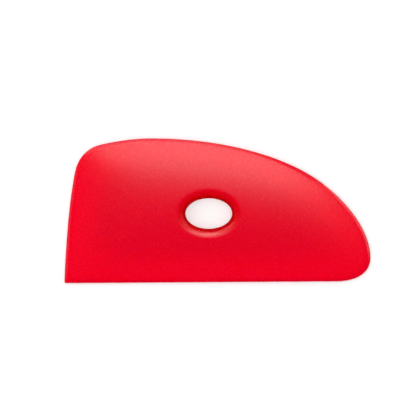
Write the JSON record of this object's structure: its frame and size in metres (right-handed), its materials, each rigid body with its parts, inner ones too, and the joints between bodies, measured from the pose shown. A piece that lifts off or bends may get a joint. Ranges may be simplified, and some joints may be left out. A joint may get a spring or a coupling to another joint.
{
  "type": "pottery rib",
  "caption": "Flexible moulded clay-shaping rib with a straight edge, a square corner, a rounded shoulder, a long curved sweep, a thin bevelled rim and an oval finger hole with a rolled lip.",
  "frame": {"origin": "on the flat back, under the middle of the blade's box", "axes": "+X along the straight edge from the square corner to the nose, +Y across the blade from the straight edge to the crest, +Z out of the crowned face"},
  "size_m": [0.108, 0.0508, 0.0038],
  "materials": {
    "polymer": "satin red moulded polymer, slightly translucent, with a fine matte grain"
  },
  "bodies": {
    "root": {"rib": "polymer"}
  },
  "joints": []
}
